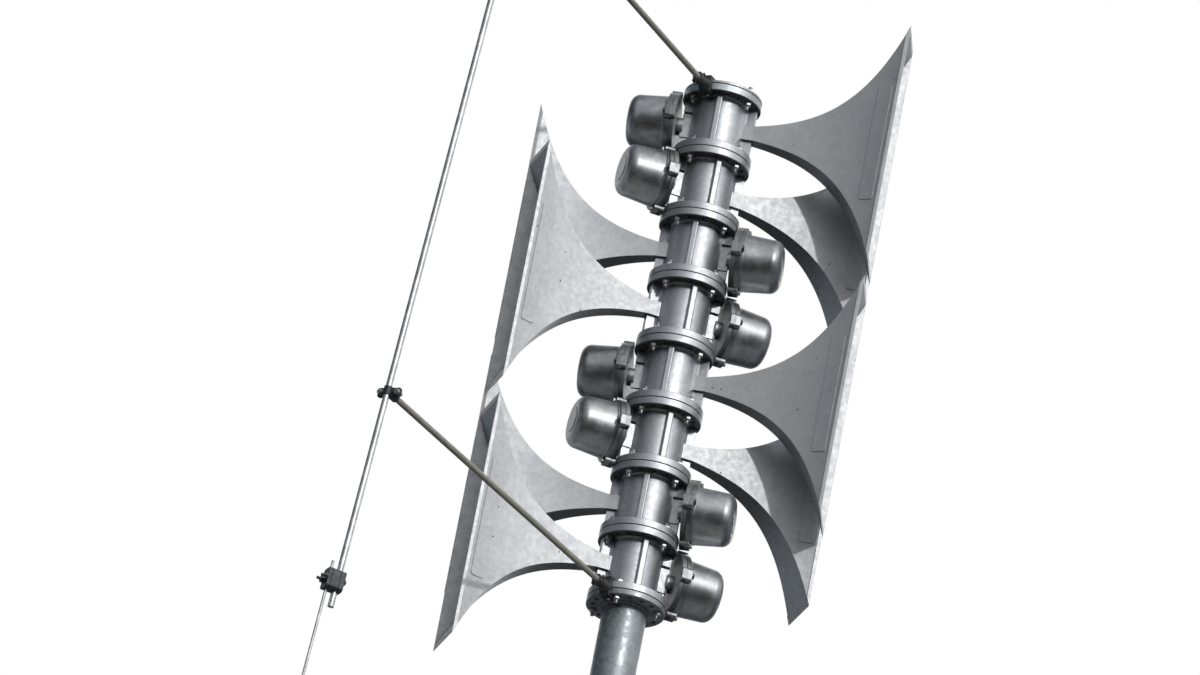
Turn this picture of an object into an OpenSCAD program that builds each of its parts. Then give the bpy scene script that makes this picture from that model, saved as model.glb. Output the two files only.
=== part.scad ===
// Electronic warning siren on a steel standpipe: eight stacked horn modules
// and a lightning rod held clear of them on two insulating bars.
// Millimetres, +Z up, origin at the centre of the base flange's underside.
// Sound is thrown along +X and -X.

/* [Siren column] */
// Number of modules in the column
module_count = 8; // [1:1:8]
// Height of one module, flange face to flange face
module_h = 180; // [150:1:220]
// Diameter of the module flanges
flange_d = 202; // [190:1:216]
// Thickness of one module flange
flange_t = 20; // [12:1:26]
// Diameter of the cast barrel
barrel_d = 134; // [120:1:140]
// Half angle between neighbouring horns, seen from above
splay = 11.25; // [11:0.25:14]
// Number of holes in a flange
flange_holes = 16; // [8:8:16]
// Diameter of the flange holes
flange_hole_d = 11; // [8:0.5:12]
// Diameter of the circle of flange holes
flange_hole_circle = 168; // [160:1:172]
// Width of the narrow side ribs
rib_w = 16; // [8:1:24]
// How far the side ribs stand out from the barrel
rib_out = 12; // [4:1:14]
// Radius of the ribs' outer edges
rib_round = 3.5; // [1:0.5:4]
// Width of the pads behind the horn and the driver
pad_w = 20; // [14:1:22]
// Distance from the axis to the outer face of the pads
pad_reach = 93; // [84:1:98]
// Size of the fillets between the pads and the barrel
pad_fillet = 5; // [2:0.5:6]
// Thickness of the cap plate
cap_t = 8; // [5:1:16]

/* [Horn] */
// Distance from the axis to the plane of the mouth
horn_reach = 450; // [400:5:520]
// Height of the mouth
mouth_h = 674; // [480:2:700]
// Width of the mouth, over its lips
mouth_w = 150; // [110:1:152]
// Height of the horn's neck
neck_h = 40; // [34:1:60]
// Width of the horn's neck
neck_w = 37; // [32:1:48]
// How sharply the top and bottom walls turn away
height_growth = 2.95; // [2:0.05:3.6]
// How sharply the side walls flare
width_growth = 1.8; // [1:0.05:2.6]
// Wall thickness of the casting
horn_wall = 5; // [3:0.5:8]
// Length of the lip around the mouth, along the horn
lip_l = 9; // [5:1:16]
// How far the blank panel stands out from the side wall
panel_out = 1.6; // [1:0.2:3]
// Height of the blank panel
panel_h = 330; // [200:5:360]
// Width of the blank panel
panel_w = 36; // [24:1:44]

/* [Driver] */
// Diameter of the driver's mounting flange
driver_flange_d = 166; // [160:1:170]
// Thickness of the mounting flange, and of the rim of the housing
driver_flange_t = 13; // [8:0.5:18]
// Distance from the axis to the back of the mounting flange
driver_seat = 104; // [103:1:112]
// Diameter of the housing at its rim
housing_d = 148; // [130:1:150]
// Diameter of the housing at its end
housing_end_d = 138; // [124:1:144]
// Length of the housing beyond its rim
housing_l = 100; // [80:1:130]
// Radius of the rounded end
housing_round = 26; // [10:1:30]
// Diameter of the raised disc on the end
housing_disc_d = 66; // [40:1:70]
// Width of the four bolt lugs
lug_w = 38; // [26:1:38]
// How far the lugs stand out from the flange
lug_out = 10; // [8:0.5:12]
// Diameter of the bolt holes in the lugs
lug_hole_d = 9; // [6:0.5:10]
// Height of the throat block behind the driver
throat_block = 66; // [50:1:80]
// Height of the slot above the throat block
slot_above = 8; // [4:0.5:8.5]
// Height of the slot below the throat block
slot_below = 2.5; // [1.5:0.5:4]
// Diameter of the neck between the throat block and the mounting flange
throat_neck_d = 46; // [36:1:48]

/* [Standpipe] */
// Height of the lowest module above the ground
column_foot = 2800; // [2400:50:4000]
// Outer diameter of the pipe
pipe_d = 114.3; // [101.6:0.1:139.7]
// Wall thickness of the pipe
pipe_wall = 4.5; // [3.6:0.1:8]
// Thickness of the flange at the head of the pipe
head_flange_t = 16; // [10:1:24]
// Diameter of the base flange
base_d = 320; // [300:5:400]
// Thickness of the base flange
base_t = 20; // [15:1:30]
// Number of gussets between the pipe and the base flange, each with two anchor holes
gusset_count = 4; // [3:1:6]
// Diameter of the anchor holes
anchor_hole_d = 18; // [14:1:22]
// Diameter of the circle of anchor holes
anchor_circle = 260; // [240:2:266]
// Height of the gussets
gusset_h = 130; // [80:5:200]
// Thickness of the gussets
gusset_t = 10; // [6:1:12]
// Size of the weld fillets
weld = 6; // [4:1:10]

/* [Lightning rod] */
// Diameter of the rod and of the stand-off bars
rod_d = 16; // [12:1:20]
// Length of the rod
rod_l = 3000; // [2400:50:3500]
// How much of the rod hangs below the lower bar
rod_below = 590; // [400:10:800]
// Distance from the axis of the column to the rod
rod_reach = 1205; // [800:5:1500]
// Direction of the lower bar, seen from above
lower_bar_turn = -128; // [-134:0.5:-123]
// Direction of the upper bar, seen from above
upper_bar_turn = -123.5; // [-134:0.5:-123]
// Height of the lower bar above the lowest flange joint
lower_bar_rise = 0; // [-2:1:2]
// Width of the bracket that grips a flange rim
bracket_w = 28; // [24:1:40]
// Diameter of the round down conductor
wire_d = 8; // [6:1:10]
// Distance from the rod to the conductor beside it
wire_offset = 23; // [22:1:30]
// How far the conductor runs on below the rod before it turns in to the pipe
wire_drop = 330; // [200:10:400]
// How far below the lower bar the conductor meets the pipe
wire_landing = 1750; // [1500:10:1800]
// Distance between the holders that carry the conductor on the pipe
holder_pitch = 350; // [250:10:500]
// Height of the earth lug on the base flange
lug_h = 60; // [50:1:80]

/* [Hidden] */
$fn = 64;
eps = 0.01;
fit_gap = 0.2;
edge_break = 1.6;
barrel_h = module_h - 2 * flange_t;
column_h = module_count * module_h;
column_top = column_foot + column_h;
horn_steps = 32;
anchor_count = 2 * gusset_count;
// Side of the pipe on which the down conductor runs, midway between two gussets
wire_turn = -135;

// Direction of the horn of module k, counted from the top: two to the right, two to the left
function horn_turn(k) =
    let (turn = (k - 1) % 4)
    turn == 0 ? -splay : turn == 1 ? splay : turn == 2 ? 180 - splay : 180 + splay;
function module_base(k) = column_foot + (module_count - k) * module_h;

// Puts a module's own parts, made with the horn along +X, at their place in the column
module place_module(k) {
    translate([0, 0, module_base(k)]) rotate([0, 0, horn_turn(k)]) children();
}

// Horn profiles: exponential walls from the pad's face to the mouth
horn_run = horn_reach - pad_reach;
function growth(t, rate) = (exp(rate * t) - 1) / (exp(rate) - 1);
function growth_slope(t, rate) = rate * exp(rate * t) / (exp(rate) - 1) / horn_run;
function half_height(t) = neck_h / 2 + (mouth_h - neck_h) / 2 * growth(t, height_growth);
function half_width(t) = neck_w / 2 + (mouth_w - neck_w) / 2 * growth(t, width_growth);
function height_slope(t) = (mouth_h - neck_h) / 2 * growth_slope(t, height_growth);
function width_slope(t) = (mouth_w - neck_w) / 2 * growth_slope(t, width_growth);
horn_stations = [for (i = [0:horn_steps]) i / horn_steps];
horn_root = barrel_d / 2 + 1;

// One side of a horn profile, the wall inset measured square to the wall
function profile_side(inset, upright) = [
    for (t = horn_stations)
        let (half = upright ? half_height(t) : half_width(t),
             slope = upright ? height_slope(t) : width_slope(t))
        [pad_reach + t * horn_run, half - inset * sqrt(1 + slope * slope)]];

// Closed outline of a horn profile, from behind the root to past the mouth
module horn_profile(inset, upright, root, past) {
    side = profile_side(inset, upright);
    last = side[horn_steps];
    upper = concat([[root, side[0][1]]], side, [[last[0] + past, last[1]]]);
    lower = [for (i = [len(upper) - 1:-1:0]) [upper[i][0], -upper[i][1]]];
    polygon(concat(upper, lower));
}

// The space inside both profiles; centred on the horn's axis, which runs along +X
module horn_solid(inset, root, past, span, extra = 0) {
    intersection() {
        translate([0, span / 2, 0]) rotate([90, 0, 0])
            linear_extrude(span) horn_profile(inset, true, root, past);
        translate([0, 0, -span / 2])
            linear_extrude(span) horn_profile(inset - extra, false, root, past);
    }
}

module rounded_plate(w, h, r) {
    square([w - 2 * r, h], center = true);
    square([w, h - 2 * r], center = true);
    for (x = [-1, 1], y = [-1, 1])
        translate([x * (w / 2 - r), y * (h / 2 - r)]) circle(r);
}

module horn() {
    span = mouth_h + 40;
    panel_x = horn_reach - lip_l - 10 - panel_w / 2;
    lip_back = horn_reach - lip_l;
    color("gainsboro") translate([0, 0, module_h / 2]) difference() {
        union() {
            horn_solid(0, horn_root, 0, span);
            // Raised blank panels on both side walls
            intersection() {
                horn_solid(0, horn_root, 0, span, panel_out);
                translate([panel_x, span / 2, 0]) rotate([90, 0, 0])
                    linear_extrude(span) rounded_plate(panel_w, panel_h, 6);
            }
            // Lip: the last stretch of the side walls, square to the mouth
            intersection() {
                translate([0, span / 2, 0]) rotate([90, 0, 0])
                    linear_extrude(span) horn_profile(0, true, horn_root, 0);
                translate([lip_back, -mouth_w / 2, -span / 2]) cube([lip_l, mouth_w, span]);
            }
        }
        horn_solid(horn_wall, horn_root - eps, 1, span);
    }
}

// Flange disc with broken edges
module flange_disc(d, t, edge = edge_break) {
    rotate_extrude() polygon([
        [0, 0], [d / 2 - edge, 0], [d / 2, edge],
        [d / 2, t - edge], [d / 2 - edge, t], [0, t]]);
}

// Holes of every flange stand at the same angles of the whole column, whichever way a module faces
module flange_hole_ring(t) {
    for (i = [0:flange_holes - 1])
        rotate([0, 0, i * 360 / flange_holes])
            translate([flange_hole_circle / 2, 0, -1]) cylinder(d = flange_hole_d, h = t + 2);
}

// Mounting flange or rim of a driver, with four lugs for its bolts; stands on z = 0
driver_collar = 3;
lug_circle_r = (housing_d / 2 + driver_collar + driver_flange_d / 2 + lug_out) / 2;
module lug_plate(t) {
    lug_l = 36;
    difference() {
        union() {
            flange_disc(driver_flange_d, t);
            for (a = [0:90:270]) rotate([0, 0, a])
                translate([driver_flange_d / 2 + lug_out - lug_l / 2, 0, 0])
                    linear_extrude(t) rounded_plate(lug_l, lug_w, 8);
        }
        for (a = [0:90:270]) rotate([0, 0, a])
            translate([lug_circle_r, 0, -1]) cylinder(d = lug_hole_d, h = t + 2);
    }
}

// Plan of a pad along +X, widening where it meets the barrel
module pad_plan() {
    barrel_r = barrel_d / 2;
    y = pad_w / 2;
    foot_y = y + pad_fillet;
    foot_x = sqrt(barrel_r * barrel_r - foot_y * foot_y);
    tip_x = sqrt(barrel_r * barrel_r - y * y) + pad_fillet;
    polygon([
        [0, -foot_y], [foot_x, -foot_y], [tip_x, -y], [pad_reach, -y],
        [pad_reach, y], [tip_x, y], [foot_x, foot_y], [0, foot_y]]);
}

// Plan of both side ribs, with rounded outer edges
module rib_plan() {
    rounded_plate(rib_w, barrel_d + 2 * rib_out, rib_round);
}

module siren_module(turn) {
    barrel_r = barrel_d / 2;
    fillet = 5;
    color("silver") union() {
        difference() {
            union() {
                flange_disc(flange_d, flange_t);
                translate([0, 0, module_h - flange_t]) flange_disc(flange_d, flange_t);
            }
            for (z = [0, module_h - flange_t])
                translate([0, 0, z]) rotate([0, 0, -turn]) flange_hole_ring(flange_t);
        }
        // Barrel with a cast fillet at each flange
        translate([0, 0, flange_t]) rotate_extrude() polygon([
            [0, -1], [barrel_r + fillet, -1], [barrel_r + fillet, 0], [barrel_r, fillet],
            [barrel_r, barrel_h - fillet], [barrel_r + fillet, barrel_h],
            [barrel_r + fillet, barrel_h + 1], [0, barrel_h + 1]]);
        translate([0, 0, flange_t - 1]) linear_extrude(barrel_h + 2) rib_plan();
        // Pad behind the horn, open where the neck passes
        difference() {
            translate([0, 0, flange_t - 1]) linear_extrude(barrel_h + 2) pad_plan();
            translate([horn_root, -module_h / 2, (module_h - neck_h) / 2])
                cube([pad_reach, module_h, neck_h]);
        }
        translate([0, -neck_w / 2, (module_h - neck_h) / 2]) cube([horn_root, neck_w, neck_h]);
        // Pad behind the driver, parted from the throat block by a slot above and below it
        difference() {
            translate([0, 0, flange_t - 1]) mirror([1, 0, 0])
                linear_extrude(barrel_h + 2) pad_plan();
            translate([-pad_reach - 1, -pad_w, (module_h - throat_block) / 2 - slot_below])
                cube([pad_reach + 1 - horn_root, 2 * pad_w, throat_block + slot_below + slot_above]);
        }
        translate([-pad_reach, -pad_w / 2 - 1, (module_h - throat_block) / 2])
            cube([pad_reach, pad_w + 2, throat_block]);
        // Neck and mounting flange
        translate([-driver_seat - 1, 0, module_h / 2]) rotate([0, 90, 0])
            cylinder(d = throat_neck_d, h = driver_seat - pad_reach + 6);
        translate([-driver_seat, 0, module_h / 2]) rotate([0, -90, 0])
            lug_plate(driver_flange_t);
    }
}

// Half profile of the drawn housing: tapered wall, and an end rounded by a true arc
module housing_profile() {
    base_z = driver_flange_t - 1;
    end_z = driver_flange_t + housing_l;
    end_r = housing_end_d / 2;
    polygon([
        [0, base_z], [housing_d / 2 + driver_collar, base_z],
        [housing_d / 2 + driver_collar, driver_flange_t + driver_collar],
        [housing_d / 2, driver_flange_t + 2 * driver_collar],
        [end_r, end_z - housing_round], [end_r - housing_round, end_z - housing_round],
        [end_r - housing_round, end_z], [0, end_z]]);
    intersection() {
        translate([end_r - housing_round, end_z - housing_round]) circle(housing_round);
        translate([end_r - housing_round - eps, end_z - housing_round - eps])
            square(housing_round + 1);
    }
}

// Rim, housing and the low raised disc on its end
module driver() {
    disc_t = 1.6;
    end_z = driver_flange_t + housing_l;
    color("dimgray") translate([-driver_seat - driver_flange_t, 0, module_h / 2])
        rotate([0, -90, 0]) union() {
            lug_plate(driver_flange_t);
            rotate_extrude() housing_profile();
            translate([0, 0, end_z - 1]) cylinder(d = housing_disc_d, h = disc_t + 1);
        }
}

module standpipe() {
    color("lightslategray") translate([0, 0, base_t]) difference() {
        cylinder(d = pipe_d, h = column_foot - head_flange_t - base_t);
        translate([0, 0, -1]) cylinder(d = pipe_d - 2 * pipe_wall, h = column_foot);
    }
}

// Weld fillet around the pipe, standing on z = 0
module weld_ring() {
    r = pipe_d / 2 + fit_gap / 4;
    rotate_extrude() polygon([[r, -eps], [r + weld, -eps], [r, weld]]);
}

module base_flange() {
    color("lightslategray") difference() {
        union() {
            flange_disc(base_d, base_t);
            translate([0, 0, base_t]) weld_ring();
            for (i = [0:gusset_count - 1]) rotate([0, 0, wire_turn + (i + 0.5) * 360 / gusset_count])
                translate([0, gusset_t / 2, 0]) rotate([90, 0, 0]) linear_extrude(gusset_t)
                    polygon([
                        [pipe_d / 2 + fit_gap, base_t - 1],
                        [base_d / 2 - 12, base_t - 1],
                        [base_d / 2 - 12, base_t + 15],
                        [pipe_d / 2 + 15, base_t + gusset_h],
                        [pipe_d / 2 + fit_gap, base_t + gusset_h]]);
        }
        for (i = [0:anchor_count - 1]) rotate([0, 0, wire_turn + (i + 0.5) * 360 / anchor_count])
            translate([anchor_circle / 2, 0, -1]) cylinder(d = anchor_hole_d, h = base_t + 2);
    }
}

module head_flange() {
    color("lightslategray") translate([0, 0, column_foot - head_flange_t]) union() {
        difference() {
            flange_disc(flange_d, head_flange_t);
            flange_hole_ring(head_flange_t);
        }
        mirror([0, 0, 1]) weld_ring();
    }
}

module cap_plate() {
    color("silver") translate([0, 0, column_top]) difference() {
        flange_disc(flange_d, cap_t);
        flange_hole_ring(cap_t);
    }
}

// Bracket that grips the rim of a flange stack from z = low to z = high, its socket along +X
bracket_wall = 8;
jaw_depth = 26;
socket_l = 44;
socket_d = rod_d + 9;
collar_l = 16;
bar_entry = 10;
socket_start = flange_d / 2 + fit_gap + bracket_wall;
module flange_bracket(low, high, bar_z) {
    inner = flange_d / 2 + fit_gap;
    color("dimgray") difference() {
        union() {
            // Back plate and the two jaws
            translate([inner, -bracket_w / 2, low - bracket_wall])
                cube([bracket_wall, bracket_w, high - low + 2 * bracket_wall]);
            for (z = [low - bracket_wall, high])
                translate([inner - jaw_depth, -bracket_w / 2, z])
                    cube([jaw_depth + bracket_wall, bracket_w, bracket_wall]);
            // Socket that widens into the back plate, with a collar for its two screws
            translate([inner + bracket_wall / 2, 0, bar_z]) rotate([0, 90, 0]) rotate_extrude()
                polygon([
                    [0, 0], [socket_d / 2 + 5, 0], [socket_d / 2 + 5, bracket_wall / 2 + 2],
                    [socket_d / 2, bracket_wall / 2 + 16],
                    [socket_d / 2, bracket_wall / 2 + socket_l - collar_l - 2],
                    [socket_d / 2 + 2, bracket_wall / 2 + socket_l - collar_l],
                    [socket_d / 2 + 2, bracket_wall / 2 + socket_l - 1],
                    [socket_d / 2 + 1, bracket_wall / 2 + socket_l],
                    [0, bracket_wall / 2 + socket_l]]);
        }
        translate([socket_start + bar_entry, 0, bar_z]) rotate([0, 90, 0])
            cylinder(d = rod_d + 2 * fit_gap, h = socket_l);
    }
}

lower_bar_z = column_foot + lower_bar_rise;
upper_bar_z = column_top - flange_t / 2;
lower_end = [rod_reach * cos(lower_bar_turn), rod_reach * sin(lower_bar_turn), lower_bar_z];
upper_end = [rod_reach * cos(upper_bar_turn), rod_reach * sin(upper_bar_turn), upper_bar_z];
rod_vector = upper_end - lower_end;
rod_lean = acos(rod_vector[2] / norm(rod_vector));
rod_lean_turn = atan2(rod_vector[1], rod_vector[0]);

module lower_bracket() {
    rotate([0, 0, lower_bar_turn])
        flange_bracket(column_foot - head_flange_t, column_foot + flange_t, lower_bar_z);
}

module upper_bracket() {
    rotate([0, 0, upper_bar_turn])
        flange_bracket(column_top - flange_t, column_top + cap_t, upper_bar_z);
}

// Stand-off bar from the bottom of its socket to the back plate of the rod clamp
clamp_seat = rod_d / 2 + fit_gap;
clamp_plate = 5;
bar_start = socket_start + bar_entry + fit_gap;
bar_end = rod_reach - clamp_seat - clamp_plate - fit_gap;
module standoff_bar(turn, z) {
    color("darkkhaki") rotate([0, 0, turn]) translate([bar_start, 0, z]) rotate([0, 90, 0])
        cylinder(d = rod_d, h = bar_end - bar_start);
}

// Puts children at a distance up the rod from the lower bar, with Z along the rod
module on_rod(along) {
    translate(lower_end) rotate([0, 0, rod_lean_turn]) rotate([0, rod_lean, 0])
        translate([0, 0, along]) rotate([0, 0, -rod_lean_turn]) children();
}

// Clamp that joins a bar's end to the rod: a plate with two ears behind the rod, a strap
// bent round the rod in front of it, and a sleeve on the bar
clamp_h = 26;
strap_h = 22;
strap_t = 2.5;
ear_span = 50;
ear_w = 17;
sleeve_l = 26;
module rod_clamp(turn, along, bar_z) {
    color("dimgray") difference() {
        union() {
            on_rod(along) rotate([0, 0, turn]) {
                translate([-clamp_seat - clamp_plate, 0, 0]) rotate([90, 0, 90])
                    linear_extrude(clamp_plate) rounded_plate(ear_span + ear_w, clamp_h, 7);
                translate([0, 0, -strap_h / 2]) linear_extrude(strap_h) {
                    circle(clamp_seat + strap_t);
                    translate([-clamp_seat, -clamp_seat - strap_t])
                        square([clamp_seat, 2 * (clamp_seat + strap_t)]);
                    translate([-clamp_seat - 1, -(ear_span + ear_w) / 2 + 2])
                        square([strap_t + 1, ear_span + ear_w - 4]);
                }
            }
            rotate([0, 0, turn]) translate([bar_end - sleeve_l, 0, bar_z])
                rotate([0, 90, 0]) cylinder(d = rod_d + 8, h = sleeve_l + 3);
        }
        on_rod(along) cylinder(r = clamp_seat, h = 4 * clamp_h, center = true);
        rotate([0, 0, turn]) translate([bar_end - sleeve_l - 1, 0, bar_z])
            rotate([0, 90, 0]) cylinder(d = rod_d + 2 * fit_gap, h = sleeve_l + 1 + fit_gap);
    }
}

module lightning_rod() {
    tip_l = 12;
    color("white") on_rod(-rod_below) union() {
        cylinder(d = rod_d, h = rod_l - tip_l);
        translate([0, 0, rod_l - tip_l]) cylinder(d1 = rod_d, d2 = rod_d / 2, h = tip_l);
    }
}

// Three-plate connector: one plate outside the rod, one between, one outside the conductor
connector_up = 66;
connector_h = 54;
connector_depth = 40;
connector_wall = 5;
connector_slit = 1.5;
wire_side = -163;
module connector_plate(from, to) {
    translate([from, 0, 0]) rotate([90, 0, 90])
        linear_extrude(to - from) rounded_plate(connector_depth, connector_h, 8);
}
module connector_clamp() {
    half = connector_slit / 2;
    color("dimgray") on_rod(-rod_below + connector_up) rotate([0, 0, wire_side]) difference() {
        union() {
            connector_plate(-rod_d / 2 - connector_wall, -half);
            connector_plate(half, wire_offset - half);
            connector_plate(wire_offset + half, wire_offset + wire_d / 2 + connector_wall);
        }
        cylinder(d = rod_d + 2 * fit_gap, h = connector_h + 2, center = true);
        translate([wire_offset, 0, 0])
            cylinder(d = wire_d + 2 * fit_gap, h = connector_h + 2, center = true);
    }
}

// Down conductor: beside the rod, then in to the pipe and down it to the base flange
function rod_point(along, side) =
    let (axis = rod_vector / norm(rod_vector))
    lower_end + axis * along + side;
wire_out = [wire_offset * cos(wire_side), wire_offset * sin(wire_side), 0];
wire_run = pipe_d / 2 + 26;
landing_z = lower_bar_z - wire_landing;
lug_grip = 16;
function pipe_point(z) = [wire_run * cos(wire_turn), wire_run * sin(wire_turn), z];
wire_top = -rod_below + connector_up + connector_h / 2 + 24;
wire_corners = [
    rod_point(wire_top, wire_out),
    rod_point(-rod_below - wire_drop, wire_out),
    pipe_point(landing_z),
    pipe_point(base_t + lug_h - lug_grip + 1)];
bend_steps = 8;
bend_reach = 90;
function unit(v) = v / norm(v);
function bend(a, b, c) =
    let (from = b + unit(a - b) * bend_reach, to = b + unit(c - b) * bend_reach)
    [for (i = [0:bend_steps])
        let (t = i / bend_steps)
        from * (1 - t) * (1 - t) + b * 2 * t * (1 - t) + to * t * t];
wire_path = concat(
    [wire_corners[0]],
    bend(wire_corners[0], wire_corners[1], wire_corners[2]),
    bend(wire_corners[1], wire_corners[2], wire_corners[3]),
    [wire_corners[3]]);

// Tube of a given diameter swept along a path of points
sweep_sides = 12;
module sweep(path, d) {
    n = len(path);
    side = unit(cross(path[n - 1] - path[0], path[1] - path[0]));
    rings = [for (i = [0:n - 1])
        let (tangent = unit(path[min(i + 1, n - 1)] - path[max(i - 1, 0)]),
             u = unit(cross(side, tangent)),
             v = cross(tangent, u))
        for (j = [0:sweep_sides - 1])
            let (a = 360 * j / sweep_sides)
            path[i] + (u * cos(a) + v * sin(a)) * d / 2];
    walls = [for (i = [0:n - 2], j = [0:sweep_sides - 1])
        let (next = (j + 1) % sweep_sides)
        [i * sweep_sides + j, (i + 1) * sweep_sides + j,
         (i + 1) * sweep_sides + next, i * sweep_sides + next]];
    first = [for (j = [0:sweep_sides - 1]) j];
    last = [for (j = [sweep_sides - 1:-1:0]) (n - 1) * sweep_sides + j];
    polyhedron(rings, concat([first], walls, [last]));
}

module down_conductor() {
    color("white") sweep(wire_path, wire_d);
}

// Holders that carry the conductor on the pipe, and the earth lug on the base flange
holder_h = 18;
holder_heights = [for (z = landing_z - 150; z > base_t + 2 * lug_h; z = z - holder_pitch) z];
module conductor_holders() {
    color("dimgray") {
        for (z = holder_heights) translate([0, 0, z]) rotate([0, 0, wire_turn])
            linear_extrude(holder_h) difference() {
                union() {
                    circle(d = pipe_d + 8);
                    translate([pipe_d / 2, -8]) square([wire_run + 10 - pipe_d / 2, 16]);
                }
                circle(d = pipe_d + 2 * fit_gap);
                translate([wire_run, 0]) circle(d = wire_d + 2 * fit_gap);
            }
        translate([0, 0, base_t]) rotate([0, 0, wire_turn]) difference() {
            translate([wire_run - 12, -10, 0]) cube([24, 20, lug_h]);
            translate([wire_run, 0, lug_h - lug_grip])
                cylinder(d = wire_d + 2 * fit_gap, h = lug_grip + 1);
        }
    }
}

standpipe();
base_flange();
head_flange();
for (k = [1:module_count]) {
    place_module(k) siren_module(horn_turn(k));
    place_module(k) horn();
    place_module(k) driver();
}
cap_plate();
lower_bracket();
upper_bracket();
standoff_bar(lower_bar_turn, lower_bar_z);  // lower_bar
standoff_bar(upper_bar_turn, upper_bar_z);  // upper_bar
rod_clamp(lower_bar_turn, 0, lower_bar_z);  // lower_rod_clamp
rod_clamp(upper_bar_turn, norm(rod_vector), upper_bar_z);  // upper_rod_clamp
lightning_rod();
connector_clamp();
down_conductor();
conductor_holders();
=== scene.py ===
"""Looks of a warning siren column: small fittings, finishes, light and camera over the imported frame."""

import logging
import math
from dataclasses import dataclass, field
from enum import Enum
from typing import Optional, Sequence

import bpy
from mathutils import Matrix, Vector


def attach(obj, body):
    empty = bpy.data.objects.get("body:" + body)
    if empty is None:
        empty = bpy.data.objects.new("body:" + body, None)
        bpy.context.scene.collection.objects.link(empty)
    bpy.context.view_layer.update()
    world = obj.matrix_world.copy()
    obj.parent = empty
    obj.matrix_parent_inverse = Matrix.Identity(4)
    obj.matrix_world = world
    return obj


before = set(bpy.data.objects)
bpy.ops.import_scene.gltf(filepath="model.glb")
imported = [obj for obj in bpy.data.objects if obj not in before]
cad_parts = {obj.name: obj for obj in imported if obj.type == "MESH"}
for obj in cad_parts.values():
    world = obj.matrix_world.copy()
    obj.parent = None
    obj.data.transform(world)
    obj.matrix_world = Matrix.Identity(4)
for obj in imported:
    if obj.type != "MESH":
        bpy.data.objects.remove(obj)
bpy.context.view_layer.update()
log = logging.getLogger("siren")
Socket = bpy.types.NodeSocket
MM = 0.001
UP = Vector((0.0, 0.0, 1.0))


class Slot(Enum):
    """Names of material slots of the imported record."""

    PIPE = "galvanised_pipe"
    CLAMP = "dark_clamp"
    ROD = "bright_rod"


def shade(colour: tuple, share: float) -> tuple:
    """Colour made darker or lighter by a share, never past white."""
    return tuple(min(1.0, share * c) for c in colour)


class Nodes:
    """Adds and links nodes in one node tree."""

    def __init__(self, tree: bpy.types.NodeTree) -> None:
        """Keeps the tree to build in."""
        self.tree = tree

    def node(self, kind: str, inputs: Optional[dict] = None, **settings: object) -> bpy.types.Node:
        """Adds a node, sets its options and fills its inputs.

        Args:
            kind: type of the node.
            inputs: socket name or index to a value or another node's output.
            settings: options of the node.

        Returns:
            The new node.
        """
        new = self.tree.nodes.new(kind)
        for key, value in settings.items():
            setattr(new, key, value)
        for key, value in (inputs or {}).items():
            if isinstance(value, Socket):
                self.tree.links.new(value, new.inputs[key])
            else:
                new.inputs[key].default_value = value
        return new

    def ramp(self, value: Socket, low: float, high: float, to_low: float = 0.0,
             to_high: float = 1.0) -> Socket:
        """Maps a range of a value smoothly to another range, and holds it at both ends.

        Args:
            value: value to map.
            low: start of its range.
            high: end of its range.
            to_low: result at the start and before it.
            to_high: result at the end and past it.

        Returns:
            The mapped value.
        """
        return self.node("ShaderNodeMapRange", {"Value": value, "From Min": low, "From Max": high,
                                                "To Min": to_low, "To Max": to_high},
                         interpolation_type="SMOOTHSTEP").outputs["Result"]

    def maths(self, kind: str, a: object, b: object) -> Socket:
        """Result of a calculation with two values, such as their sum."""
        return self.node("ShaderNodeMath", {0: a, 1: b}, operation=kind).outputs[0]

    def blend(self, share: object, a: object, b: object) -> Socket:
        """Colour between a and b; share is 0 at a and 1 at b."""
        fixed = {key: (*value, 1.0) if isinstance(value, tuple) else value for key, value in ((6, a), (7, b))}
        return self.node("ShaderNodeMix", {0: share, **fixed}, data_type="RGBA").outputs[2]


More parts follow.
